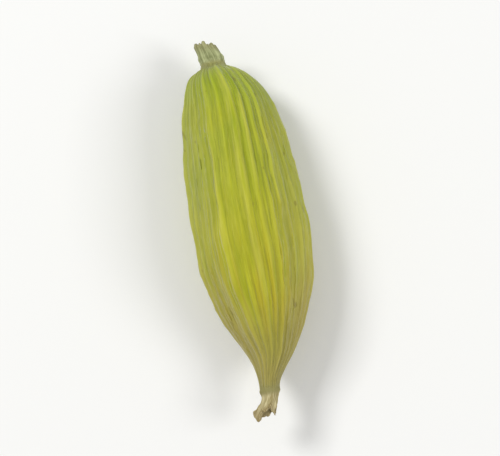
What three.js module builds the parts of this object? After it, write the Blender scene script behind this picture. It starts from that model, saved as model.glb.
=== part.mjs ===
// A dried green cardamom pod, lying on one of its three faces, in millimetres.
// +Y runs along the pod towards its stalk, +Z is up, and the origin is on the small flat spot
// that the pod rests on, under the middle of its body. One angle of the pod is on top.

import * as THREE from "three";

// Driving dimensions of the pod's wall.
const BODY_LENGTH = 18.05;
const HALF_WIDTH = 2.88;
const COLLAR_RADIUS = 0.7;
const COLLAR_LENGTH = 0.3;
const BEAK_RADIUS = 0.53;
const BEAK_LENGTH = 0.25;
const AXIS_HEIGHT = 2.635;

// How full the outline is at either end: a low power gives a round shoulder, a high one a taper.
// The power changes over the taper's stretch, between two stations: a station is 0 at the stalk
// end of the body and 1 at its beak end. The lower a fairing power, the softer the turn from the
// body into its collar or its beak.
const STALK_END_POWER = 0.33;
const BEAK_END_POWER = 1.1;
const TAPER_STRETCH = [0.4, 0.95];
const STALK_FAIRING = 1.9;
const BEAK_FAIRING = 1.4;

// The line through the middle of the pod: a slight bow, a hooked beak, and a stalk off to one side.
const BOW = 0.12;
const BEAK_HOOK = 0.42;
const BEAK_LIFT = 0.4;
const BEAK_STRETCH = [0.89, 1.02];
const STALK_OFFSET = 0.34;
const STALK_STRETCH = [-0.02, 0.12];

// The three angles of the pod, each with a keel, and the ribs between them. Angles, keels and
// dents are at full height from a certain swelling on. The root is the share of a rib's height
// that lies below the plain wall, which keeps the pod's girth as it is.
const FULL_RELIEF_FROM = 0.9;
const ANGLES = 3;
const ANGLE_SHARE = 0.085;
const KEEL_HEIGHT = 0.13;
const KEEL_WIDTH = 0.016;
const RIBS = 27;
const RIB_HEIGHT = 0.24;
const RIB_ROOT = 0.2;
const RIB_SHARPNESS = 1.2;
const RIB_TAPER = 0.7;
const RIB_LEAST = 0.2;

// Slow waves make each rib higher or lower than the next, and crowd and sway the ribs a little.
// Each wave has its number around and along the pod, its start and its size.
const RIB_MEAN = 0.62;
const RIB_WAVES = [
  { around: 7, along: -0.6, start: 0.2, size: 0.18 },
  { around: 11, along: 0.4, start: 0, size: 0.2 },
];
const RIB_SHIFTS = [
  { around: 4, along: 0, start: 0.3, size: 0.006 },
  { around: 2, along: 1.5, start: 0, size: 0.004 },
];

// Where the wall sank in as it dried: place along and around the pod, size and depth.
const DENTS = [
  { along: 0.32, around: 0.86, length: 0.18, breadth: 0.06, depth: 0.17 },
  { along: 0.66, around: 0.12, length: 0.2, breadth: 0.05, depth: 0.17 },
  { along: 0.27, around: 0.2, length: 0.14, breadth: 0.05, depth: 0.13 },
  { along: 0.76, around: 0.83, length: 0.13, breadth: 0.05, depth: 0.13 },
  { along: 0.42, around: 0.63, length: 0.18, breadth: 0.05, depth: 0.16 },
  { along: 0.6, around: 0.38, length: 0.16, breadth: 0.05, depth: 0.14 },
];

// The patch that was pressed flat, as shares of the body's length and of a turn.
const PRESSED = { along: 0.5, around: 0.5, length: 0.2, breadth: 0.11 };

// The stub of the stalk.
const STALK_LENGTH = 0.9;
const STALK_RADIUS = 0.6;
const STALK_FLARE = 0.1;
const STALK_GROOVES = 7;
const STALK_GROOVE_DEPTH = 0.05;
const STALK_SIDEWAYS = 0.26;
const STALK_UPWARDS = 0.25;
const STALK_SCAR_AT = 0.45;
const STALK_SCAR_HEIGHT = 0.06;
const STALK_SCAR_WIDTH = 0.1;
const STALK_SKEW = 0.25;
const STALK_BREAK = { around: 0.1, size: 0.14 };

// The withered flower tube on the beak, with its torn teeth.
const TUBE_LENGTH = 1.2;
const TUBE_RADIUS = 0.45;
const TUBE_ROOT = 0.11;
const TUBE_WAIST = 0.06;
const TUBE_FLARE = 0.24;
const TUBE_WALL = 0.16;
const TUBE_DEPTH = 0.65;
const TUBE_PLEATS = 8;
const TUBE_PLEAT_SHARE = 0.09;
const TUBE_TEETH = { count: 3, start: 0.21, length: 0.2, unevenness: 0.5, longest: 0.155 };
const TUBE_NOTCHES = { count: 7, start: 0.16, length: 0.1 };
const TUBE_SIDEWAYS = 0.5;
const TUBE_FLATNESS = 0.8;

// The pieces grow out of each other. This hair's breadth keeps their solids apart.
const PARTING = 0.05;

// How finely each piece is faceted, and how much the rings of the husk crowd towards its ends.
const RING_CROWDING = 0.7;
const HUSK_SIDES = RIBS * 4;
const HUSK_STEPS = 36;
const STALK_SIDES = 28;
const STALK_STEPS = 9;
const TUBE_SIDES = 24;
const TUBE_STEPS = 7;

const TURN = 2 * Math.PI;
const { lerp, smoothstep, clamp } = THREE.MathUtils;

// The husk runs from the end of its collar to the end of its beak.
const FIRST_STATION = -COLLAR_LENGTH / BODY_LENGTH;
const LAST_STATION = 1 + BEAK_LENGTH / BODY_LENGTH;

const heightAlongY = (station) => (0.5 - station) * BODY_LENGTH;

// How far the body has swollen at a station: 0 at either end, 1 in the middle.
function swelling(station) {
  const arch = clamp(4 * station * (1 - station), 0, 1);
  const power = lerp(STALK_END_POWER, BEAK_END_POWER, smoothstep(station, ...TAPER_STRETCH));
  return Math.pow(arch, power);
}

// The radius of the round core of the body, with its collar and beak faired in.
function coreRadius(station) {
  const towardsBeak = smoothstep(station, 0, 1);
  const swell = HALF_WIDTH * swelling(station);
  const neck = lerp(COLLAR_RADIUS, BEAK_RADIUS, towardsBeak);
  const fairing = lerp(STALK_FAIRING, BEAK_FAIRING, towardsBeak);
  return Math.pow(swell ** fairing + neck ** fairing, 1 / fairing);
}

// The middle of the section at a station.
function middle(station) {
  const bow = BOW * Math.sin(Math.PI * clamp(station, 0, 1));
  const hooked = smoothstep(station, ...BEAK_STRETCH);
  const aside = 1 - smoothstep(station, ...STALK_STRETCH);
  return new THREE.Vector3(
    bow - BEAK_HOOK * hooked - STALK_OFFSET * aside,
    heightAlongY(station),
    BEAK_LIFT * hooked,
  );
}

// The shortest way between two places around the pod, in turns.
function gapAround(a, b) {
  const gap = Math.abs(a - b) % 1;
  return Math.min(gap, 1 - gap);
}

// A soft round bump of height 1 about a place on the wall.
function bump(station, around, { along, around: at, length, breadth }) {
  const up = (station - along) / length;
  const over = gapAround(around, at) / breadth;
  return Math.exp(-up * up - over * over);
}

// The sum of some waves at a place on the wall.
function waving(waves, station, around) {
  const height = ({ around: across, along, start, size }) =>
    size * Math.sin(TURN * (across * around + along * station + start));
  return waves.reduce((sum, wave) => sum + height(wave), 0);
}

// How high the ribs stand at a place, from 0 to 1: sharp crests, no two of the same height, with
// hollow valleys between them.
function ribbing(station, around) {
  const crest = Math.pow(1 - Math.abs(Math.sin(RIBS * Math.PI * around)), RIB_SHARPNESS);
  return crest * (RIB_MEAN + waving(RIB_WAVES, station, around));
}

// What the angles, keels, ribs and dents add to the core's radius.
function relief(station, around) {
  const swell = swelling(station);
  const angled = ANGLE_SHARE * coreRadius(station) * Math.cos(ANGLES * TURN * around);
  const fromKeel = gapAround(ANGLES * around, 0) / ANGLES / KEEL_WIDTH;
  const keel = KEEL_HEIGHT * Math.exp(-fromKeel * fromKeel);
  const tapering = Math.max(Math.pow(swell, RIB_TAPER), RIB_LEAST);
  const rib = RIB_HEIGHT * tapering * (ribbing(station, around) - RIB_ROOT);
  const sunk = DENTS.reduce((sum, dent) => sum + dent.depth * bump(station, around, dent), 0);
  const loose = 1 - bump(station, around, PRESSED);
  const firm = smoothstep(swell, 0, FULL_RELIEF_FROM);
  return firm * (angled + keel * loose - sunk) + rib * loose;
}

// Moves each vertex of a geometry to where place() says, which gets how far round the Y axis
// the vertex is, in turns from +Z towards +X, its distance from that axis, and its height.
function reshape(geometry, place) {
  const positions = geometry.getAttribute("position");
  const vertex = new THREE.Vector3();
  for (let i = 0; i < positions.count; i++) {
    vertex.fromBufferAttribute(positions, i);
    const around = Math.atan2(vertex.x, vertex.z) / TURN;
    const moved = place(around, Math.hypot(vertex.x, vertex.z), vertex.y);
    positions.setXYZ(i, moved.x, moved.y, moved.z);
  }
  geometry.computeVertexNormals();
  return geometry;
}

// The pod's wall: a drum whose rings crowd towards the ends, drawn out to the pod's shape.
function huskGeometry() {
  const drum = new THREE.CylinderGeometry(1, 1, 1, HUSK_SIDES, HUSK_STEPS);
  return reshape(drum, (around, share, height) => {
    const step = 0.5 - height;
    const eased = lerp(step, 0.5 - 0.5 * Math.cos(Math.PI * step), RING_CROWDING);
    const station = lerp(FIRST_STATION, LAST_STATION, eased);
    const radius = share * (coreRadius(station) + relief(station, around));
    const direction = TURN * (around + waving(RIB_SHIFTS, station, around));
    const point = middle(station);
    point.x += radius * Math.sin(direction);
    point.z = Math.max(point.z + radius * Math.cos(direction), -AXIS_HEIGHT);
    return point;
  });
}

// The stalk's stub: it leaves the collar along +Y and leans away, grooved, to a broken end.
function stalkGeometry() {
  const rod = new THREE.CylinderGeometry(1, 1, 1, STALK_SIDES, STALK_STEPS);
  return reshape(rod, (around, share, height) => {
    const rise = 0.5 + height;
    const groove = STALK_GROOVE_DEPTH * Math.cos(STALK_GROOVES * TURN * around + rise);
    const scar = (rise - STALK_SCAR_AT) / STALK_SCAR_WIDTH;
    const swollen = STALK_FLARE * (1 - rise) ** 4 + STALK_SCAR_HEIGHT * Math.exp(-scar * scar);
    const radius = share * (STALK_RADIUS + swollen + groove * smoothstep(rise, 0, 0.2));
    const lean = rise * rise;
    const broken = STALK_BREAK.size * share * Math.cos(TURN * (around - STALK_BREAK.around)) * lean;
    const direction = TURN * around;
    return new THREE.Vector3(
      -STALK_SIDEWAYS * lean + radius * Math.sin(direction),
      STALK_LENGTH * rise - STALK_SKEW * radius * Math.sin(direction) * lean + broken,
      STALK_UPWARDS * lean + radius * Math.cos(direction),
    );
  });
}

// The half outline of the flower tube: up its outside, over its rim and down its inside.
function tubeOutline() {
  const wallAt = (rise) => {
    const waisted = TUBE_RADIUS - TUBE_WAIST * Math.sin(Math.PI * rise);
    return waisted + TUBE_ROOT * (1 - rise) ** 5 + TUBE_FLARE * rise ** 2;
  };
  const outside = [];
  const inside = [];
  for (let step = 0; step <= TUBE_STEPS; step++) {
    const rise = step / TUBE_STEPS;
    outside.push(new THREE.Vector2(wallAt(rise), rise * TUBE_LENGTH));
    const inner = lerp(1, 1 - TUBE_DEPTH / TUBE_LENGTH, rise);
    inside.push(new THREE.Vector2(wallAt(inner) - TUBE_WALL, inner * TUBE_LENGTH));
  }
  const foot = new THREE.Vector2(0, 0);
  const floor = new THREE.Vector2(0, TUBE_LENGTH - TUBE_DEPTH);
  return [foot, ...outside, ...inside, floor];
}

// The withered tube: the outline spun round, pleated, torn into teeth and bent sideways.
function tubeGeometry() {
  const spun = new THREE.LatheGeometry(tubeOutline(), TUBE_SIDES);
  return reshape(spun, (around, distance, height) => {
    const rise = height / TUBE_LENGTH;
    const pleat = 1 + TUBE_PLEAT_SHARE * rise * Math.cos(TUBE_PLEATS * TURN * around);
    const { count, start, length, unevenness, longest } = TUBE_TEETH;
    const uneven = 1 + unevenness * Math.cos(TURN * (around - longest));
    const tooth = length * uneven * Math.cos(TURN * count * (around + start));
    const notching = TUBE_NOTCHES.count * around + TUBE_NOTCHES.start;
    const notch = TUBE_NOTCHES.length * Math.cos(TURN * notching);
    const direction = TURN * around;
    return new THREE.Vector3(
      TUBE_SIDEWAYS * rise * rise + distance * pleat * Math.sin(direction),
      height + (tooth + notch) * rise ** 3,
      distance * pleat * lerp(1, TUBE_FLATNESS, rise) * Math.cos(direction),
    );
  });
}

// A named piece of the pod. Its geometry becomes a mesh of its own.
function piece(name, geometry, colour, roughness) {
  const material = new THREE.MeshStandardMaterial({ color: colour, roughness, metalness: 0 });
  const mesh = new THREE.Mesh(geometry, material);
  mesh.name = name;
  return mesh;
}

const husk = piece("husk", huskGeometry(), 0xa7b03c, 0.6);

const stalk = piece("stalk", stalkGeometry(), 0xa09a5c, 0.8);
stalk.position.copy(middle(FIRST_STATION));
stalk.position.y += PARTING;

// The tube is spun upwards along +Y. Half a turn about Z points it away from the beak, and
// takes its sideways bend from +X to -X.
const flowerRemnant = piece("flower_remnant", tubeGeometry(), 0xb3a877, 0.85);
flowerRemnant.position.copy(middle(LAST_STATION));
flowerRemnant.position.y -= PARTING;
flowerRemnant.rotation.z = Math.PI;

// The flat spot lies under the middle of the bowed line.
const pod = new THREE.Group();
pod.position.set(-BOW, 0, AXIS_HEIGHT);
pod.add(husk, stalk, flowerRemnant);

export default pod;
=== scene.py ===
# %% [markdown]
# # A dried green cardamom pod
# The pod is a small spindle, three-angled and ribbed lengthwise. Where it was picked it keeps a
# stub of its stalk, and at its beak hangs what is left of the flower. The solid model gives every
# size. This lesson models each piece again, much finer, and then gives it a finish.

# %% Load the solid model
import math
import random

import bpy
import numpy as np
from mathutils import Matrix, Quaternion, Vector, noise


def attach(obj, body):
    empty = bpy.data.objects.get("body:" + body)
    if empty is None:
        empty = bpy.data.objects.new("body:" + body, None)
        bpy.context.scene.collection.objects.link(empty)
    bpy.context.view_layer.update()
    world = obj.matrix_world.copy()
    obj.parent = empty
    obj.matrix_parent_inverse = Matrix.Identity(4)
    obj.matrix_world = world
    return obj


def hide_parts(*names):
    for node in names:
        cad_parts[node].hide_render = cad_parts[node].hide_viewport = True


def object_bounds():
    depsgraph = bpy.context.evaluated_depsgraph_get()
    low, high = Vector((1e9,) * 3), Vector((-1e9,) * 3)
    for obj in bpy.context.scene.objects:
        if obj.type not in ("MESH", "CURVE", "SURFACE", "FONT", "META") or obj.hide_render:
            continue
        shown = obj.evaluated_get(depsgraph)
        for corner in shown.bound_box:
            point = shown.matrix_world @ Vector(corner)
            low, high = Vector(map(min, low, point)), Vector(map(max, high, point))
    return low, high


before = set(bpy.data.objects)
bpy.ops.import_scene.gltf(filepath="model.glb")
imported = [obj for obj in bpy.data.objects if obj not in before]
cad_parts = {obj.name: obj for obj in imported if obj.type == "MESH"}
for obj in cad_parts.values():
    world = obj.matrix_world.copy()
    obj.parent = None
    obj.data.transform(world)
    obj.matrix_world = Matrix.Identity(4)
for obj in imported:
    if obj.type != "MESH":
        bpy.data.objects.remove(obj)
solid_low, solid_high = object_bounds()

MM = 0.001
print("solid model:", [round(side / MM, 2) for side in solid_high - solid_low], "mm")

# %% [markdown]
# ## Where we look from
# The photograph looks down on the pod from high above, and the pod lies with its stalk up and a
# little to the left. A camera high above the pod, rolled by that same angle, sees it the same
# way. The pod is tiny in the photograph, so the camera comes close. A long lens keeps it free of
# perspective, as a distant camera would.

# %% Camera
PHOTO_WIDTH, PHOTO_HEIGHT = 500, 456
AXIS_IN_PHOTO = Vector((0.177, 0.984))  # from the stalk to the beak, rightwards and down
VIEW_ELEVATION = math.radians(80)
VIEW_HEIGHT = 25.2 * MM
LENS, SENSOR = 150.0, 36.0  # in millimetres, as Blender wants them
NEAREST_SEEN = 5 * MM

centre = (solid_low + solid_high) / 2
half_angle_tangent = SENSOR / 2 / LENS * PHOTO_HEIGHT / PHOTO_WIDTH
distance = VIEW_HEIGHT / 2 / half_angle_tangent
towards_camera = Vector((0, -math.cos(VIEW_ELEVATION), math.sin(VIEW_ELEVATION)))
roll = math.atan2(AXIS_IN_PHOTO.x, AXIS_IN_PHOTO.y)

camera = bpy.data.objects.new("camera", bpy.data.cameras.new("camera"))
bpy.context.scene.collection.objects.link(camera)
camera.data.lens = LENS
camera.data.sensor_width = SENSOR
camera.data.clip_start = NEAREST_SEEN
camera.location = centre + distance * towards_camera
camera.rotation_mode = "QUATERNION"
camera.rotation_quaternion = towards_camera.to_track_quat("Z", "Y") @ Quaternion((0, 0, 1), -roll)
bpy.context.scene.camera = camera
print(f"camera {distance / MM:.0f} mm away, rolled by {math.degrees(roll):.1f} degrees")

# %% [markdown]
# ## Light and floor
# The photograph is lit softly, a bit more from the upper left, on plain white. Two broad area
# lights and a pale sky do the same: the strong one is the key light, and the weak one opens up
# the shadows on the right. A sun or a bare point light would throw hard shadows. The floor is a
# plane, and it isn't part of the pod.

# %% Lights


def add_light(name, position, side, watts):
    """A square area light that faces the middle of the pod."""
    lamp = bpy.data.objects.new(name, bpy.data.lights.new(name, "AREA"))
    bpy.context.scene.collection.objects.link(lamp)
    lamp.data.size = side
    lamp.data.energy = watts
    lamp.location = position
    lamp.rotation_mode = "QUATERNION"
    lamp.rotation_quaternion = (lamp.location - centre).to_track_quat("Z", "Y")
    print(name, "gives", watts, "W")


add_light("key_light", position=(-0.16, 0.12, 0.24), side=0.1, watts=0.54)
add_light("fill_light", position=(0.2, -0.06, 0.2), side=0.12, watts=0.33)

# %% Sky and floor
SKY_STRENGTH = 0.44
FLOOR_SIDE = 1.5

sky = bpy.data.worlds.new("pale_sky")
sky.use_nodes = True
background = sky.node_tree.nodes["Background"]
background.inputs["Color"].default_value = (1.0, 1.0, 1.0, 1.0)
background.inputs["Strength"].default_value = SKY_STRENGTH
bpy.context.scene.world = sky
bpy.context.scene.view_settings.view_transform = "Standard"

bpy.ops.object.select_all(action="DESELECT")
bpy.ops.mesh.primitive_plane_add(size=FLOOR_SIDE)
floor = bpy.context.object
floor.name = "floor"

# %% [markdown]
# ## Rings
# Everything on a pod grew along a line, so every piece is drawn out ring by ring: a circle is
# extruded a short step and then scaled about its new middle. Two helpers do it. The first lays
# down a circle that faces along the pod. The second draws it on to a next middle and radius.
# A piece could also be a curve with a bevel, but rings give control over each step.

# %% Drawing out rings


def first_ring(name, sides, middle, radius, closed):
    """Adds a circle round the pod's long axis, opened for editing and selected all over."""
    bpy.ops.object.select_all(action="DESELECT")
    bpy.ops.mesh.primitive_circle_add(
        vertices=sides,
        radius=radius,
        fill_type="NGON" if closed else "NOTHING",
        location=middle,
        rotation=(-math.pi / 2, 0, 0),
    )
    piece = bpy.context.object
    piece.name = name
    bpy.ops.object.transform_apply(location=True, rotation=True, scale=True)
    bpy.ops.object.mode_set(mode="EDIT")
    bpy.ops.mesh.select_mode(type="VERT")
    bpy.ops.mesh.select_all(action="SELECT")
    return piece


def draw_out(rings):
    """Extrudes the selected ring through the others. Each ring is its middle and its radius."""
    for (here, radius), (there, next_radius) in zip(rings, rings[1:]):
        bpy.ops.mesh.extrude_region_move(TRANSFORM_OT_translate={"value": there - here})
        growth = next_radius / radius
        bpy.ops.transform.resize(value=(growth, growth, growth), center_override=there)


def close_up(piece, levels):
    """Turns the faces outwards, leaves edit mode and rounds the mesh by subdividing it."""
    bpy.ops.mesh.select_all(action="SELECT")
    bpy.ops.mesh.normals_make_consistent(inside=False)
    bpy.ops.object.mode_set(mode="OBJECT")
    rounding = piece.modifiers.new("rounding", "SUBSURF")
    rounding.levels = rounding.render_levels = levels
    bpy.ops.object.modifier_apply(modifier="rounding")


# %% [markdown]
# ## The pod's line and outline
# The wall follows a line that bows a little, swings aside into the stalk and hooks at the beak.
# A station runs from 0 at the stalk end of the body to 1 at its beak end. The arch 4s(1 - s) to a
# low power is a round shoulder, and to a high power a taper, so the power changes along the way.

# %% Driving sizes of the wall
BODY_LENGTH = 18.05 * MM
HALF_WIDTH = 2.88 * MM
COLLAR_RADIUS, COLLAR_LENGTH = 0.7 * MM, 0.3 * MM
BEAK_RADIUS, BEAK_LENGTH = 0.53 * MM, 0.25 * MM
AXIS_HEIGHT = 2.635 * MM
STALK_END_POWER, BEAK_END_POWER = 0.33, 1.1
POWER_CHANGES = (0.4, 0.95)  # stations between which the power changes
STALK_FAIRING, BEAK_FAIRING = 1.9, 1.4
BOW = 0.12 * MM
BEAK_HOOK, BEAK_LIFT = 0.42 * MM, 0.4 * MM
BEAK_BENDS = (0.89, 1.02)
STALK_OFFSET = 0.34 * MM
STALK_BENDS = (-0.02, 0.12)

FIRST_STATION = -COLLAR_LENGTH / BODY_LENGTH
LAST_STATION = 1 + BEAK_LENGTH / BODY_LENGTH
print(f"the wall runs from station {FIRST_STATION:.3f} to {LAST_STATION:.3f}")


def smooth(value, low, high):
    """0 up to low, 1 from high on, and a soft step between them."""
    share = np.clip((value - low) / (high - low), 0, 1)
    return share * share * (3 - 2 * share)


def as_share(wave):
    """Moves a wave between -1 and 1 to between 0 and 1."""
    return 0.5 + 0.5 * wave


def swelling(station):
    """How far the body has swollen: 0 at either end and 1 half way."""
    arch = np.clip(4 * station * (1 - station), 0, 1)
    towards_beak = smooth(station, *POWER_CHANGES)
    return arch ** (STALK_END_POWER + (BEAK_END_POWER - STALK_END_POWER) * towards_beak)


def core_radius(station):
    """The radius of the body's round core, with its collar and beak faired in."""
    towards_beak = smooth(station, 0, 1)
    neck = COLLAR_RADIUS + (BEAK_RADIUS - COLLAR_RADIUS) * towards_beak
    fairing = STALK_FAIRING + (BEAK_FAIRING - STALK_FAIRING) * towards_beak
    swell = HALF_WIDTH * swelling(station)
    return (swell**fairing + neck**fairing) ** (1 / fairing)


def middle_of(station):
    """The middle of the section at a station, or at each of many."""
    hook = smooth(station, *BEAK_BENDS)
    aside = 1 - smooth(station, *STALK_BENDS)
    bow = BOW * (np.sin(np.pi * np.clip(station, 0, 1)) - 1)
    x = bow - BEAK_HOOK * hook - STALK_OFFSET * aside
    return x, (0.5 - station) * BODY_LENGTH, AXIS_HEIGHT + BEAK_LIFT * hook


# %% [markdown]
# ## The wall
# The real wall is a papery husk. Its three angles are broad and blunt, and about nine ribs run
# down each face between them. The rings make the round core first, with five corners to a rib.
# Two rounds of subdivision then give each rib twenty, which is fine enough for a sharp crest.

# %% Draw out the wall
ANGLES = 3
RIBS = 27
ANGLE_SHARE = 0.085
RIB_CORNERS = 5
RIB_HEIGHT = 0.24 * MM
RIB_ROOT = 0.2
RIB_TAPER = 0.7
RIB_LEAST = 0.2
RING_COUNT = 39
EVEN_SHARE = 0.3  # the rest of the rings' spacing crowds them at both ends
FIRM_SWELLING = 0.9
DOME = ((0.93, 0.002), (0.75, 0.0035), (0.4, 0.004))  # share of the radius, stations further out


def tapering(station):
    """How much of a rib's height is left at a station."""
    return np.maximum(swelling(station) ** RIB_TAPER, RIB_LEAST)


def firmness(station):
    """How much of the angles a section shows: none at the ends, all where it is swollen."""
    return smooth(swelling(station), 0, FIRM_SWELLING)


def core_ring(station, share=1.0):
    """One ring of the wall, pulled in by what the angles and ribs raise later."""
    radius = core_radius(station) * (1 - ANGLE_SHARE * firmness(station))
    radius -= RIB_ROOT * RIB_HEIGHT * tapering(station)
    return Vector(middle_of(station)), float(radius * share)


steps = np.linspace(0, 1, RING_COUNT)
eased = EVEN_SHARE * steps + (1 - EVEN_SHARE) * as_share(-np.cos(np.pi * steps))
stations = FIRST_STATION + (LAST_STATION - FIRST_STATION) * eased
stalk_cap = [core_ring(FIRST_STATION - out, share) for share, out in reversed(DOME)]
beak_cap = [core_ring(LAST_STATION + out, share) for share, out in DOME]
wall_rings = stalk_cap + [core_ring(station) for station in stations] + beak_cap

pod_wall = first_ring("pod_wall", RIBS * RIB_CORNERS, *wall_rings[0], closed=True)
draw_out(wall_rings)
close_up(pod_wall, levels=2)
print("wall:", len(pod_wall.data.polygons), "faces")

# %% [markdown]
# ## Relief by weight
# Ribs, keels and dents could be sculpted by hand. Here each is a vertex group: a formula says how
# much of it there is at every point, from 0 to 1, and a Displace modifier lifts the wall by that
# weight. The formulas work on two numbers, the station along the pod and the turn around it.

# %% Read places and raise relief


def corners_of(piece):
    """The piece's vertices as an array, one row each."""
    flat = np.empty(len(piece.data.vertices) * 3)
    piece.data.vertices.foreach_get("co", flat)
    return flat.reshape(-1, 3)


def raise_by(piece, name, weights, height, direction="NORMAL"):
    """Lifts the surface by the height times each vertex's weight, from 0 to 1."""
    group = piece.vertex_groups.new(name=name)
    for index, weight in enumerate(np.clip(weights, 0, 1).tolist()):
        group.add([index], weight, "REPLACE")
    lift = piece.modifiers.new(name, "DISPLACE")
    lift.vertex_group = name
    lift.direction = direction
    lift.mid_level = 0
    lift.strength = height
    bpy.context.view_layer.objects.active = piece
    bpy.ops.object.modifier_apply(modifier=name)
    piece.vertex_groups.clear()


def gap_around(turn, other):
    """The shortest way between two places around the pod, in turns."""
    gap = np.abs(turn - other) % 1
    return np.minimum(gap, 1 - gap)


def slanting_wave(turn, station, around, lengthwise, phase=0.0):
    """A sine wave that closes after going round the pod and slants along it."""
    return np.sin(math.tau * (around * turn + lengthwise * station + phase))


def grown_noise(turn, station, around, lengthwise, seed):
    """Noise from -1 to 1 that is drawn out along the fibres and closes round the pod."""
    reach = around / math.tau
    angle = math.tau * turn
    points = np.stack([reach * np.sin(angle), reach * np.cos(angle), lengthwise * station], axis=1)
    return np.array([noise.noise((x, y + seed, z + seed)) for x, y, z in points.tolist()])


def oval(turn, station, along, around, length, breadth):
    """An oval spot on the wall: 1 in its middle, and fading out."""
    off_middle = (station - along) / length
    return np.exp(-(off_middle**2) - (gap_around(turn, around) / breadth) ** 2)


# %% Where each point of the wall lies
RIB_CROWDING = 0.006
RIB_SWAY = 0.004
RIB_WANDER = 0.005

wall = corners_of(pod_wall)
station = 0.5 - wall[:, 1] / BODY_LENGTH
wall_x, _, wall_z = middle_of(station)
turn = np.arctan2(wall[:, 0] - wall_x, wall[:, 2] - wall_z) / math.tau
crowded = RIB_CROWDING * slanting_wave(turn, station, around=4, lengthwise=0, phase=0.3)
swayed = RIB_SWAY * slanting_wave(turn, station, around=2, lengthwise=1.5)
wander = RIB_WANDER * grown_noise(turn, station, around=9, lengthwise=2.5, seed=6.3)
grown_turn = turn - crowded - swayed - wander
firm = firmness(station)
tapered = tapering(station)
print(f"ribs stray by {360 * np.abs(grown_turn - turn).max():.1f} degrees at most")

# %% [markdown]
# The patch that the pod lies on was pressed smooth. It is an oval fade around the place straight
# below the middle, and everything that stands proud is held back there.

# %% Pressed patch, angles and keels
PRESSED_LENGTH, PRESSED_BREADTH = 0.2, 0.11
KEEL_HEIGHT, KEEL_WIDTH = 0.13 * MM, 0.016
ANGLE_HEADROOM = 1.1  # a weight stops at 1, and the faired core is a little over the half width

pressed = oval(
    turn, station, along=0.5, around=0.5, length=PRESSED_LENGTH, breadth=PRESSED_BREADTH
)
loose = 1 - pressed
three_sided = as_share(np.cos(ANGLES * math.tau * turn))
angled = firm * core_radius(station) / HALF_WIDTH * three_sided
angle_height = 2 * ANGLE_HEADROOM * ANGLE_SHARE * HALF_WIDTH
raise_by(pod_wall, "angles", angled / ANGLE_HEADROOM, angle_height)

from_keel = gap_around(ANGLES * grown_turn, 0) / ANGLES / KEEL_WIDTH
keels = firm * np.exp(-(from_keel**2))
raise_by(pod_wall, "keels", keels * loose, KEEL_HEIGHT)

# %% [markdown]
# A rib is a bundle of fibres under paper that shrank, so its crest is sharp and the valley beside
# it is hollow: one minus the size of a sine has that form. Two slow waves and some noise change
# the height, so that no two ribs match. A fainter rib runs down the middle of most valleys.

# %% Ribs
RIB_SHARPNESS = 1.2
RIB_MEAN, RIB_SLOW_WAVE, RIB_QUICK_WAVE = 0.62, 0.18, 0.2
RIB_FADING = 0.45

crest = (1 - np.abs(np.sin(math.pi * RIBS * grown_turn))) ** RIB_SHARPNESS
slow_wave = slanting_wave(grown_turn, station, around=7, lengthwise=-0.6, phase=0.2)
quick_wave = slanting_wave(grown_turn, station, around=11, lengthwise=0.4)
fading = 1 + RIB_FADING * grown_noise(turn, station, around=RIBS, lengthwise=5, seed=2.9)
ribbing = crest * (RIB_MEAN + RIB_SLOW_WAVE * slow_wave + RIB_QUICK_WAVE * quick_wave) * fading
raise_by(pod_wall, "ribs", ribbing * tapered * loose, RIB_HEIGHT)

# %% Fainter ribs
FAINT_HEIGHT, FAINT_SHARPNESS = 0.09 * MM, 1.5
FAINT_SHOWS = (0.35, 0.7)

between = (1 - np.abs(np.cos(math.pi * RIBS * grown_turn))) ** FAINT_SHARPNESS
uneven = as_share(grown_noise(turn, station, around=20, lengthwise=4, seed=4.7))
faint = between * smooth(uneven, *FAINT_SHOWS) * tapered
raise_by(pod_wall, "faint_ribs", faint * loose, FAINT_HEIGHT)

# %% [markdown]
# As it dried, the wall sank in here and there and settled over the rows of seeds, which show
# through as the softest of lumps. Last come crinkles drawn out along the fibres, and thin creases
# where noise passes through zero.

# %% Dents
DENT_DEPTH = 0.17 * MM
DENTS = [  # along, around, length, breadth, share of the depth
    (0.32, 0.86, 0.18, 0.06, 1.0),
    (0.66, 0.12, 0.2, 0.05, 1.0),
    (0.27, 0.2, 0.14, 0.05, 0.76),
    (0.76, 0.83, 0.13, 0.05, 0.76),
    (0.42, 0.63, 0.18, 0.05, 0.94),
    (0.6, 0.38, 0.16, 0.05, 0.82),
]

sunk = sum(share * oval(turn, station, *place) for *place, share in DENTS)
raise_by(pod_wall, "dents", firm * sunk, -DENT_DEPTH)

# %% Seeds showing through
SEED_HEIGHT = 0.07 * MM
SEED_ROWS = 6
SEEDS_IN_A_ROW = 6.5

row_shift = 0.5 * np.floor(SEED_ROWS * turn)
along_row = as_share(np.cos(math.tau * (SEEDS_IN_A_ROW * station + row_shift)))
across_row = as_share(-np.cos(SEED_ROWS * math.tau * turn))
raise_by(pod_wall, "seeds", along_row * across_row * firm * loose, SEED_HEIGHT)

# %% Crinkles and creases
CRINKLE_HEIGHT = 0.085 * MM
CRINKLES = [(0.6, 40, 9, 1.3), (0.4, 100, 12, 8.1)]  # share, around, lengthwise, seed
CREASE_HEIGHT, CREASE_SHARPNESS = 0.032 * MM, 4

crinkles = sum(share * grown_noise(turn, station, *how) for share, *how in CRINKLES)
raise_by(pod_wall, "crinkles", as_share(crinkles) * loose * tapered, CRINKLE_HEIGHT)
from_crease = np.abs(grown_noise(turn, station, around=46, lengthwise=14, seed=5.5))
creases = np.clip(1 - CREASE_SHARPNESS * from_crease, 0, 1)
raise_by(pod_wall, "creases", creases * loose * tapered, CREASE_HEIGHT)

# %% [markdown]
# ## The flat spot
# A loose pod settles on the few ribs that touch down. All that reaches below the floor is scaled
# flat onto it, so the pod rests on a real spot and doesn't only touch it.

# %% Press the spot flat


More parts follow.
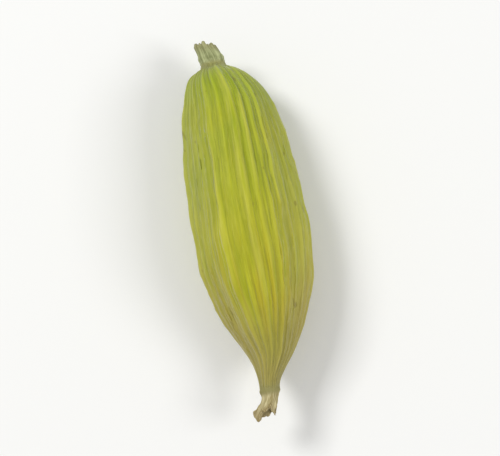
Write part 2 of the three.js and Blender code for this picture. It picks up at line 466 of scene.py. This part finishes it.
def select_corners(piece, chosen):
    """Selects the chosen vertices and nothing else, in edit mode."""
    bpy.ops.object.mode_set(mode="EDIT")
    bpy.ops.mesh.select_mode(type="VERT")
    bpy.ops.mesh.select_all(action="DESELECT")
    bpy.ops.object.mode_set(mode="OBJECT")
    piece.data.vertices.foreach_set("select", chosen)
    bpy.ops.object.mode_set(mode="EDIT")


below = corners_of(pod_wall)[:, 2] < 0
select_corners(pod_wall, below)
bpy.ops.transform.resize(value=(1, 1, 0), center_override=(0, 0, 0))
bpy.ops.object.mode_set(mode="OBJECT")
bpy.ops.object.shade_smooth()
print("flat spot:", int(below.sum()), "corners touch down")

# %% [markdown]
# ## What the finish will need
# Fibres run along the pod and close up at its ends. A texture on plain coordinates would cut
# across them, so each vertex keeps its own place in the grain: its direction as a point on a
# circle, and its station. How high it stands on a rib is kept too, to pale the crests.

# %% Keep the grain on the mesh
KEEL_PALENESS = 0.6


def keep(piece, name, values):
    """Stores a number or a vector for each vertex, which a finish reads by its name."""
    is_number = values.ndim == 1
    kind, field = ("FLOAT", "value") if is_number else ("FLOAT_VECTOR", "vector")
    stored = piece.data.attributes.new(name, kind, "POINT")
    stored.data.foreach_set(field, values.astype(np.float32).ravel())


def grain_at(turn, station):
    """The place in the grain: a point on the unit circle, then the station."""
    angle = math.tau * turn
    return np.stack([np.sin(angle), np.cos(angle), station], axis=1)


keep(pod_wall, "grain", grain_at(grown_turn, station))
keep(pod_wall, "crest", np.clip(ribbing * tapered + KEEL_PALENESS * keels, 0, 1))
print("kept the grain at", len(grown_turn), "corners of the wall")

# %% [markdown]
# ## The stub of the stalk
# The pod was picked with a bit of its stalk. It leaves the collar straight and leans aside,
# grooved, with a scar part of the way up, and it broke off in a ragged end of stiff fibres. It
# is drawn out as the wall was, from a little way inside the collar, so that no gap shows.

# %% Driving sizes of the stalk
STALK_LENGTH, STALK_RADIUS = 0.9 * MM, 0.6 * MM
STALK_FLARE = 0.1 * MM
STALK_SIDEWAYS, STALK_UPWARDS = 0.26 * MM, 0.25 * MM
STALK_SCAR_AT, STALK_SCAR_WIDTH, STALK_SCAR_HEIGHT = 0.45, 0.1, 0.07 * MM
STALK_SINK = 0.3
STALK_SIDES, STALK_RINGS = 28, 14
PITH_EDGE, PITH_FLOOR, PITH_DEPTH = 0.72, 0.45, 0.16 * MM

stalk_root = Vector(middle_of(FIRST_STATION))


def rises(sink, count):
    """Steps from below a piece's root, at minus the sink, up to its free end at 1."""
    return [-sink + (1 + sink) * step / count for step in range(count + 1)]


def stalk_ring(rise):
    """One ring of the stalk, which may start below its root, inside the collar."""
    lean = max(rise, 0) ** 2
    scar = (rise - STALK_SCAR_AT) / STALK_SCAR_WIDTH
    radius = STALK_RADIUS + STALK_FLARE * (1 - max(rise, 0)) ** 4
    radius += STALK_SCAR_HEIGHT * math.exp(-scar * scar)
    offset = Vector((-STALK_SIDEWAYS * lean, STALK_LENGTH * rise, STALK_UPWARDS * lean))
    return stalk_root + offset, radius


# %% Draw out the stalk
stalk_rings = [stalk_ring(rise) for rise in rises(STALK_SINK, STALK_RINGS)]
tip, tip_radius = stalk_rings[-1]
pith_edge = (tip, PITH_EDGE * tip_radius)
pith_floor = (tip - Vector((0, PITH_DEPTH, 0)), PITH_FLOOR * tip_radius)
stalk_stub = first_ring("stalk_stub", STALK_SIDES, *stalk_rings[0], closed=True)
draw_out(stalk_rings + [pith_edge, pith_floor])
print(f"stalk: {STALK_LENGTH / MM} mm long and {2 * tip_radius / MM:.2f} mm across its tip")

# %% [markdown]
# The broken end is a rim of short fibres round sunken pith. Some of the rim's faces are picked at
# random and drawn out to splinters, each with a length of its own. Extruding may number the faces
# differently in another run, so they are sorted by their angle before anything is drawn.

# %% Splinters on the broken end
SPLINTER_SHARE = 0.6
SPLINTER_LENGTHS = (0.06 * MM, 0.2 * MM)
SPLINTER_TAPER = 0.35
SPLINTER_SEED = 7
ON_THE_RIM, SAME_PLACE = 0.01 * MM, 0.001 * MM


def select_faces(piece, wanted):
    """Selects the faces that wanted() accepts and nothing else, in edit mode."""
    bpy.ops.mesh.select_mode(type="FACE")
    bpy.ops.mesh.select_all(action="DESELECT")
    bpy.ops.object.mode_set(mode="OBJECT")
    for face in piece.data.polygons:
        face.select = wanted(face)
    bpy.ops.object.mode_set(mode="EDIT")


breaks = random.Random(SPLINTER_SEED)
bpy.ops.object.mode_set(mode="OBJECT")
rim = [
    face.center.copy()
    for face in stalk_stub.data.polygons
    if abs(face.center.y - tip.y) < ON_THE_RIM and len(face.vertices) == 4
]
rim.sort(key=lambda place: math.atan2(place.x - tip.x, place.z - tip.z))
bpy.ops.object.mode_set(mode="EDIT")
for place in rim:
    if breaks.random() > SPLINTER_SHARE:
        continue
    select_faces(stalk_stub, lambda face: (face.center - place).length < SAME_PLACE)
    reach = Vector((0, breaks.uniform(*SPLINTER_LENGTHS), 0))
    bpy.ops.mesh.extrude_region_move(TRANSFORM_OT_translate={"value": reach})
    bpy.ops.transform.resize(value=(SPLINTER_TAPER,) * 3, center_override=place + reach)
close_up(stalk_stub, levels=2)
print("stalk:", len(rim), "faces on the broken rim")

# %% Grooves, slant and grain of the stalk
STALK_GROOVES, STALK_GROOVE_DEPTH = 7, 0.1 * MM
COARSE_SHARE, FINE_SHARE = 0.7, 0.3
STALK_SKEW = 0.25
SIDE_FROM = (0.5, 0.8)  # shares of the radius
GROOVES_FROM, PITH_FROM = (0, 0.2), (0.7, 0.95)  # rises

stalk = corners_of(stalk_stub)
rise = (stalk[:, 1] - stalk_root.y) / STALK_LENGTH
lean = np.clip(rise, 0, 1) ** 2
across = stalk[:, 0] - stalk_root.x + STALK_SIDEWAYS * lean
up = stalk[:, 2] - stalk_root.z - STALK_UPWARDS * lean
stalk_turn = np.arctan2(across, up) / math.tau
stalk_share = np.hypot(across, up) / STALK_RADIUS
grooves = as_share(np.cos(STALK_GROOVES * math.tau * stalk_turn + rise))
fine_grooves = as_share(grown_noise(stalk_turn, rise, around=26, lengthwise=3, seed=2.2))
on_side = smooth(stalk_share, *SIDE_FROM) * smooth(rise, *GROOVES_FROM)
grooved = (COARSE_SHARE * grooves + FINE_SHARE * fine_grooves) * on_side
raise_by(stalk_stub, "grooves", grooved, STALK_GROOVE_DEPTH)
slant = np.clip(as_share(-across / STALK_RADIUS), 0, 1) * lean
raise_by(stalk_stub, "slant", slant, 2 * STALK_SKEW * STALK_RADIUS, direction="Y")
bpy.ops.object.shade_smooth()
keep(stalk_stub, "grain", grain_at(stalk_turn, rise))
keep(stalk_stub, "depth", np.clip(1 - stalk_share, 0, 1) * smooth(rise, *PITH_FROM))
print("stalk:", len(stalk_stub.data.polygons), "faces")

# %% [markdown]
# ## What is left of the flower
# At the beak the flower's tube withered to a papery sleeve. It hangs to one side, pleated, with a
# torn rim. It has no end cap: an open ring is drawn out, its rim is torn by a formula, and only
# then does Solidify give the paper its thickness.

# %% Driving sizes of the flower tube
TUBE_LENGTH, TUBE_RADIUS = 1.2 * MM, 0.45 * MM
TUBE_ROOT = 0.11 * MM
TUBE_WAIST, TUBE_FLARE = 0.06 * MM, 0.24 * MM
TUBE_SIDEWAYS = 0.5 * MM
TUBE_SINK = 0.14
TUBE_SIDES, TUBE_RINGS = 48, 14
TUBE_TEETH, TUBE_TOOTH_LENGTH = 3, 0.2 * MM
TEAR_REACH = 1.9  # how many tooth lengths the tear goes, either way

tube_root = Vector(middle_of(LAST_STATION))
deepest_tear = TEAR_REACH * TUBE_TOOTH_LENGTH


def tube_ring(rise):
    """One ring of the tube, drawn short by what its teeth add."""
    open_rise = max(rise, 0)
    radius = TUBE_RADIUS - TUBE_WAIST * math.sin(math.pi * open_rise) + TUBE_FLARE * open_rise**2
    if rise > 0:
        radius += TUBE_ROOT * (1 - rise) ** 5
    hang = TUBE_LENGTH * rise - deepest_tear * open_rise**3
    return tube_root + Vector((-TUBE_SIDEWAYS * open_rise**2, -hang, 0)), radius


# %% Draw out the flower tube
tube_rises = rises(TUBE_SINK, TUBE_RINGS)
tube_rings = [tube_ring(rise) for rise in tube_rises]
flower_tube = first_ring("flower_tube", TUBE_SIDES, *tube_rings[0], closed=False)
draw_out(tube_rings)
close_up(flower_tube, levels=1)

# %% Where each point of the tube lies
tube = corners_of(flower_tube)
ring_places = np.array([place.y for place, _ in tube_rings])
tube_rise = np.interp(-tube[:, 1], -ring_places, tube_rises)
hung = np.clip(tube_rise, 0, 1)
tube_across = tube[:, 0] - tube_root.x + TUBE_SIDEWAYS * hung**2
tube_turn = np.arctan2(tube_across, tube[:, 2] - tube_root.z) / math.tau
angle = math.tau * tube_turn

# %% Tear, pleat and crumple the tube
TOOTH_LOPSIDE, LONG_TEETH_AT = 0.5, 0.6  # share, radians
FIRST_TOOTH = 0.21 * math.tau
NOTCHES = [(0.5, 7, 1), (0.3, 17, 0)]  # share, how many around, radians
TUBE_PLEATS, TUBE_PLEAT_DEPTH = 8, 0.1 * MM
CRUMPLE_DEPTH = 0.16 * MM

lopside = 1 + TOOTH_LOPSIDE * np.sin(-angle + LONG_TEETH_AT)
tooth = lopside * np.cos(TUBE_TEETH * (FIRST_TOOTH - angle))
notch = sum(share * np.cos(start - count * angle) for share, count, start in NOTCHES)
torn = as_share((tooth + notch) / TEAR_REACH)
raise_by(flower_tube, "torn", torn * hung**3, -2 * deepest_tear, direction="Y")
pleats = as_share(np.cos(TUBE_PLEATS * angle))
raise_by(flower_tube, "pleats", pleats * hung, TUBE_PLEAT_DEPTH)
crumple = as_share(grown_noise(tube_turn, tube_rise, around=12, lengthwise=5, seed=3.9))
raise_by(flower_tube, "crumple", crumple * hung, CRUMPLE_DEPTH)

# %% Give the tube the thickness of paper
PAPER = 0.07 * MM

keep(flower_tube, "grain", grain_at(tube_turn, tube_rise))
paper = flower_tube.modifiers.new("paper", "SOLIDIFY")
paper.thickness = PAPER
paper.offset = -1
bpy.ops.object.modifier_apply(modifier="paper")
softened = flower_tube.modifiers.new("softened", "SUBSURF")
softened.levels = softened.render_levels = 1
bpy.ops.object.modifier_apply(modifier="softened")
bpy.ops.object.shade_smooth()
print("flower tube:", len(flower_tube.data.polygons), "faces")

# %% [markdown]
# ## Finishes as expressions
# A material is a small network of nodes, and networks are hard to read in code. `Wire` wraps one
# socket and overloads arithmetic, so that `crest * 0.5 + streaks` adds the Math nodes by itself.
# `Finish` holds one material, and adds any other node by its type, settings and sockets. Colours
# are laid over each other as a painter's glazes: each has a place, a strength and a tint.

# %% Paint and wires


def paint(code):
    """A colour as the shader needs it, from a six-digit web colour."""
    parts = [int(code[at : at + 2], 16) / 255 for at in (1, 3, 5)]
    linear = [part / 12.92 if part <= 0.04045 else ((part + 0.055) / 1.055) ** 2.4 for part in parts]
    return (*linear, 1.0)


class Wire:
    """An output socket that can be used in arithmetic."""

    def __init__(self, finish, socket):
        self.finish, self.socket = finish, socket

    def __add__(self, other):
        return self.finish.math("ADD", self, other)

    def __rsub__(self, other):
        return self.finish.math("SUBTRACT", other, self)

    def __mul__(self, other):
        return self.finish.math("MULTIPLY", self, other)

    __radd__ = __add__
    __rmul__ = __mul__


# %% Finishes
NOISE_ROUGHNESS = 0.55


class Finish:
    """One material, built from nodes."""

    def __init__(self, name):
        self.material = bpy.data.materials.new(name)
        self.material.use_nodes = True
        self.tree = self.material.node_tree
        self.surface = self.tree.nodes["Principled BSDF"]

    def feed(self, socket, value):
        """Links a wire to a socket, or sets the socket's own value."""
        if isinstance(value, Wire):
            self.tree.links.new(value.socket, socket)
        else:
            socket.default_value = value

    def node(self, kind, output=0, settings=None, **sockets):
        """Adds a node. Its settings come first, and then its sockets, by their identifiers."""
        made = self.tree.nodes.new(kind)
        for name, value in (settings or {}).items():
            setattr(made, name, value)
        inputs = {socket.identifier.replace(" ", "_"): socket for socket in made.inputs}
        for name, value in sockets.items():
            self.feed(inputs[name], value)
        return Wire(self, made.outputs[output])

    def math(self, operation, first, second):
        """Adds a Math node, for the wires' arithmetic."""
        settings = {"operation": operation}
        return self.node("ShaderNodeMath", settings=settings, Value=first, Value_001=second)

    def mix(self, factor, first, second):
        """Fades from the first colour to the second."""
        return self.node(
            "ShaderNodeMix",
            output=2,
            settings={"data_type": "RGBA"},
            Factor_Float=factor,
            A_Color=first,
            B_Color=second,
        )

    def glaze(self, colour, glazes):
        """Lays glazes over a colour, each with its place, its strength and its tint."""
        for where, strength, tint in glazes:
            colour = self.mix(where * strength, colour, paint(tint))
        return colour

    def step(self, value, low, high):
        """0 up to low, 1 from high on, and a soft step between them."""
        return self.node(
            "ShaderNodeMapRange",
            settings={"interpolation_type": "SMOOTHSTEP"},
            Value=value,
            From_Min=low,
            From_Max=high,
        )

    def kept(self, name, output="Fac"):
        """What the mesh keeps for each vertex under that name."""
        return self.node("ShaderNodeAttribute", output=output, settings={"attribute_name": name})

    def place(self):
        """The point on the piece, in metres."""
        return self.node("ShaderNodeTexCoord", output="Object")

    def noise(self, where, stretch, detail, shift=0.0):
        """Noise with its place scaled by a stretch in X, Y and Z."""
        scaled = self.node(
            "ShaderNodeMapping", Vector=where, Scale=stretch, Location=(shift, shift, shift)
        )
        return self.node(
            "ShaderNodeTexNoise",
            Vector=scaled,
            Scale=1.0,
            Detail=detail,
            Roughness=NOISE_ROUGHNESS,
        )

    def fibre_noise(self, grain, around, lengthwise, detail, shift=0.0):
        """Noise in the grain, finer around the piece than along it."""
        return self.noise(grain, (around, around, lengthwise), detail, shift)

    def bump(self, height, depth):
        """A bump whose height is a share of the depth."""
        return self.node("ShaderNodeBump", Height=height, Strength=1.0, Distance=depth)

    def wear(self, piece, colour, roughness, normal=None, **constants):
        """Feeds the surface, sets its constants and gives the finish to the piece."""
        self.feed(self.surface.inputs["Base Color"], colour)
        self.feed(self.surface.inputs["Roughness"], roughness)
        if normal:
            self.feed(self.surface.inputs["Normal"], normal)
        for name, value in constants.items():
            self.surface.inputs[name.replace("_", " ")].default_value = value
        piece.data.materials.clear()
        piece.data.materials.append(self.material)
        print(self.material.name, "has", len(self.tree.nodes), "nodes")


# %% [markdown]
# ## The wall's finish
# Green cardamom is dried so that it keeps its colour: a yellowish green, pale on the crests, turning
# golden low on the body and straw at both ends. The valleys are a deeper green, partly their own
# colour and partly painted shade. The straw at the beak is darkened with painted shade, and the
# flanks are glazed paler and greyer as a painted sheen. It is all streaks, because it is all fibre.
# It could be painted by hand, stroke by stroke. Noise in the kept grain gives the same strokes, and
# they follow each rib however it wanders.

# %% Streaks and patches of the wall
PATCH_FINENESS = 260

husk_finish = Finish("husk_finish")
grain = husk_finish.kept("grain", output="Vector")
crest_height = husk_finish.kept("crest")
aside = husk_finish.node("ShaderNodeSeparateXYZ", output=0, Vector=grain)
along = husk_finish.node("ShaderNodeSeparateXYZ", output=2, Vector=grain)

broad_streaks = husk_finish.fibre_noise(grain, around=7, lengthwise=2.2, detail=2.0)
streaks = husk_finish.fibre_noise(grain, around=15, lengthwise=4, detail=4.0, shift=3.0)
fibres = husk_finish.fibre_noise(grain, around=32, lengthwise=7, detail=3.0, shift=7.0)
patches = husk_finish.noise(husk_finish.place(), (PATCH_FINENESS,) * 3, detail=2.0)

# %% Green that yellows towards the beak
YELLOWING, YELLOWING_RAGGED = (0.2, 0.75), 0.5  # stations, and how far patches shift them

streaked = husk_finish.step(streaks, low=0.3, high=0.7)
fresh = husk_finish.mix(streaked, paint("#84961a"), paint("#9cad22"))
yellowed = husk_finish.mix(streaked, paint("#9a9e12"), paint("#b6b61d"))
yellowing = husk_finish.step(along + patches * YELLOWING_RAGGED, *YELLOWING)
green = husk_finish.mix(yellowing, fresh, yellowed)

# %% Places that the sun and the drying turned golden
SUNNED_FROM = (0.12, 0.4)
LOW_BODY_FROM, LOW_BODY_TO = (0.45, 0.72), (0.78, 0.95)

sunned = husk_finish.step(patches, low=0.45, high=0.7) * husk_finish.step(along, *SUNNED_FROM)
low_body = husk_finish.step(along, *LOW_BODY_FROM) * (1 - husk_finish.step(along, *LOW_BODY_TO))
golden = low_body * husk_finish.step(broad_streaks, low=0.38, high=0.6)

# %% Valleys deeper green with painted shade, pale crests, and flanks paler with painted sheen
VALLEY_GREEN_AND_SHADE_TO, CREST_FROM = (0.0, 0.25), (0.25, 0.8)
FLANK_SHEEN_RAGGED = 0.5

# Deeper green in the valleys: partly their own colour, partly painted shade where the relief is too
# shallow to shade them.
valley_green_and_shade = 1 - husk_finish.step(crest_height, *VALLEY_GREEN_AND_SHADE_TO)
valley_green_and_shade = valley_green_and_shade * husk_finish.step(broad_streaks, low=0.35, high=0.65)
pale_crest = husk_finish.step(crest_height, *CREST_FROM)
pale_crest = pale_crest * husk_finish.step(fibres, low=0.35, high=0.6)
pale_fibre = husk_finish.step(fibres, low=0.54, high=0.72)
# Painted sheen: the flanks either side of the top angle are glazed paler and greyer.
painted_flank_sheen = husk_finish.step(aside * aside + streaks * FLANK_SHEEN_RAGGED, low=0.2, high=1.2)

# %% Straw-coloured ends, darkened at the beak with painted shade, with a painted sheen on its flanks
STALK_END_TO, STALK_END_RAGGED = (0.03, 0.12), 0.1
BEAK_END_FROM, BEAK_END_RAGGED, BEAK_END_SHEEN_ON_FLANKS = (0.78, 1.08), 0.16, 0.14
COLLAR_TO, TIP_FROM = (-0.015, 0.012), (0.985, 1.02)

near_stalk = 1 - husk_finish.step(along + streaks * STALK_END_RAGGED, *STALK_END_TO)
# Towards the beak the straw climbs further up the flanks: a painted sheen that greys them.
down_the_beak = along + streaks * BEAK_END_RAGGED + aside * aside * BEAK_END_SHEEN_ON_FLANKS
beak_straw_and_shade = husk_finish.step(down_the_beak, *BEAK_END_FROM)
very_tip = husk_finish.step(along, *TIP_FROM) + (1 - husk_finish.step(along, *COLLAR_TO))

# %% Specks and scratches from handling
SPECK_STRETCH = (2100, 1100, 2100)
SCRATCH_SHARE = 0.4

specks = husk_finish.noise(husk_finish.place(), SPECK_STRETCH, detail=1.0, shift=1.0)
scratches = husk_finish.fibre_noise(grain, around=36, lengthwise=14, detail=1.0, shift=11.0)
scratched = husk_finish.step(scratches, low=0.72, high=0.8) * SCRATCH_SHARE
marks = husk_finish.step(specks, low=0.73, high=0.78) + scratched

# %% Lay the glazes on the wall
WITHERED = "#9a965f"
HUSK_GLAZES = [  # place, strength, tint
    (sunned, 0.5, "#b9af20"),
    (golden, 0.5, "#b5a01d"),
    # valleys: deeper green, partly painted shade
    (valley_green_and_shade, 0.33, "#788312"),
    (pale_crest, 0.35, "#c6c250"),
    (pale_fibre, 0.3, "#c8c350"),
    # painted sheen on the flanks
    (painted_flank_sheen, 0.25, "#b4b66e"),
    (near_stalk, 0.75, "#a0a351"),
    # straw at the beak, its tint darkened as painted shade, and greyer flanks there as painted sheen
    (beak_straw_and_shade, 0.85, "#a89b52"),
    (very_tip, 0.7, WITHERED),
    (marks, 0.45, "#746428"),
]
HUSK_SMOOTHEST, HUSK_ROUGHENING = 0.4, 0.25
STREAK_RELIEF = 0.6
HUSK_BUMP_DEPTH = 0.13 * MM

relief = fibres * STREAK_RELIEF + streaks * STREAK_RELIEF
husk_finish.wear(
    pod_wall,
    husk_finish.glaze(green, HUSK_GLAZES),
    roughness=HUSK_SMOOTHEST + HUSK_ROUGHENING * fibres,
    normal=husk_finish.bump(relief, HUSK_BUMP_DEPTH),
    Specular_IOR_Level=0.26,
    Sheen_Weight=0.32,
    Sheen_Roughness=0.4,
)

# %% [markdown]
# ## The stalk's finish
# The stub is woody: greyish green outside with paler fibres, straw where it leaves the pod and
# near its end, and brown where the break shows the pith. The depth kept on the mesh tells how
# far inside the rim a point lies, so the brown fades out towards the rim by itself.

# %% Finish of the stalk
STALK_BUMP_DEPTH = 0.06 * MM

stalk_finish = Finish("stalk_finish")
stalk_grain = stalk_finish.kept("grain", output="Vector")
stalk_up = stalk_finish.node("ShaderNodeSeparateXYZ", output=2, Vector=stalk_grain)
stalk_fibres = stalk_finish.fibre_noise(stalk_grain, around=9, lengthwise=1.5, detail=5.0)
stalk_streaks = stalk_finish.step(stalk_fibres, low=0.35, high=0.65)
woody = stalk_finish.mix(stalk_streaks, paint("#83885a"), paint("#b3b886"))
STALK_GLAZES = [  # place, strength, tint
    (1 - stalk_finish.step(stalk_up, low=0.0, high=0.22), 0.8, WITHERED),
    (stalk_finish.step(stalk_up, low=0.6, high=1.0), 0.35, "#93835a"),
    (stalk_finish.kept("depth"), 1.0, "#4f3a1f"),
]
stalk_finish.wear(
    stalk_stub,
    stalk_finish.glaze(woody, STALK_GLAZES),
    roughness=0.75,
    normal=stalk_finish.bump(stalk_fibres, STALK_BUMP_DEPTH),
    Specular_IOR_Level=0.3,
)

# %% [markdown]
# ## The flower tube's finish
# Withered tissue is like old paper: tan with brown veins lengthwise, greener at its root, where
# it grew out of the beak, and darker at its torn rim. The root's darker tint is also painted shade,
# matching the shaded tip of the beak.

# %% Finish of the flower tube
TUBE_BUMP_DEPTH = 0.05 * MM

tube_finish = Finish("tube_finish")
tube_grain = tube_finish.kept("grain", output="Vector")
tube_down = tube_finish.node("ShaderNodeSeparateXYZ", output=2, Vector=tube_grain)
tube_veins = tube_finish.fibre_noise(tube_grain, around=6, lengthwise=1.6, detail=5.0)
tube_streaks = tube_finish.step(tube_veins, low=0.38, high=0.64)
papery = tube_finish.mix(tube_streaks, paint("#988a5a"), paint("#cbc093"))
TUBE_GLAZES = [  # place, strength, tint
    # greener root, darkened as painted shade next to the beak's tip
    (1 - tube_finish.step(tube_down, low=0.0, high=0.35), 1.0, "#8d8753"),
    (tube_finish.step(tube_down, low=0.55, high=1.0), 0.4, "#8f7850"),
]
tube_finish.wear(
    flower_tube,
    tube_finish.glaze(papery, TUBE_GLAZES),
    roughness=0.8,
    normal=tube_finish.bump(tube_veins, TUBE_BUMP_DEPTH),
    Specular_IOR_Level=0.3,
)

# %% [markdown]
# ## The floor's finish
# Plain and pale, so that nothing draws the eye from the pod.

# %% Finish of the floor
Finish("floor_finish").wear(floor, paint("#eeeeec"), roughness=0.9, Specular_IOR_Level=0.1)

# %% [markdown]
# ## Tie the pieces to the solid model
# Each finer piece stands for one solid and rides on the one body, and the solid is hidden.

# %% Replace the solids
for piece, node in ((pod_wall, "husk"), (stalk_stub, "stalk"), (flower_tube, "flower_remnant")):
    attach(piece, "root")
    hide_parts(node)
    print(piece.name, "stands for", node)
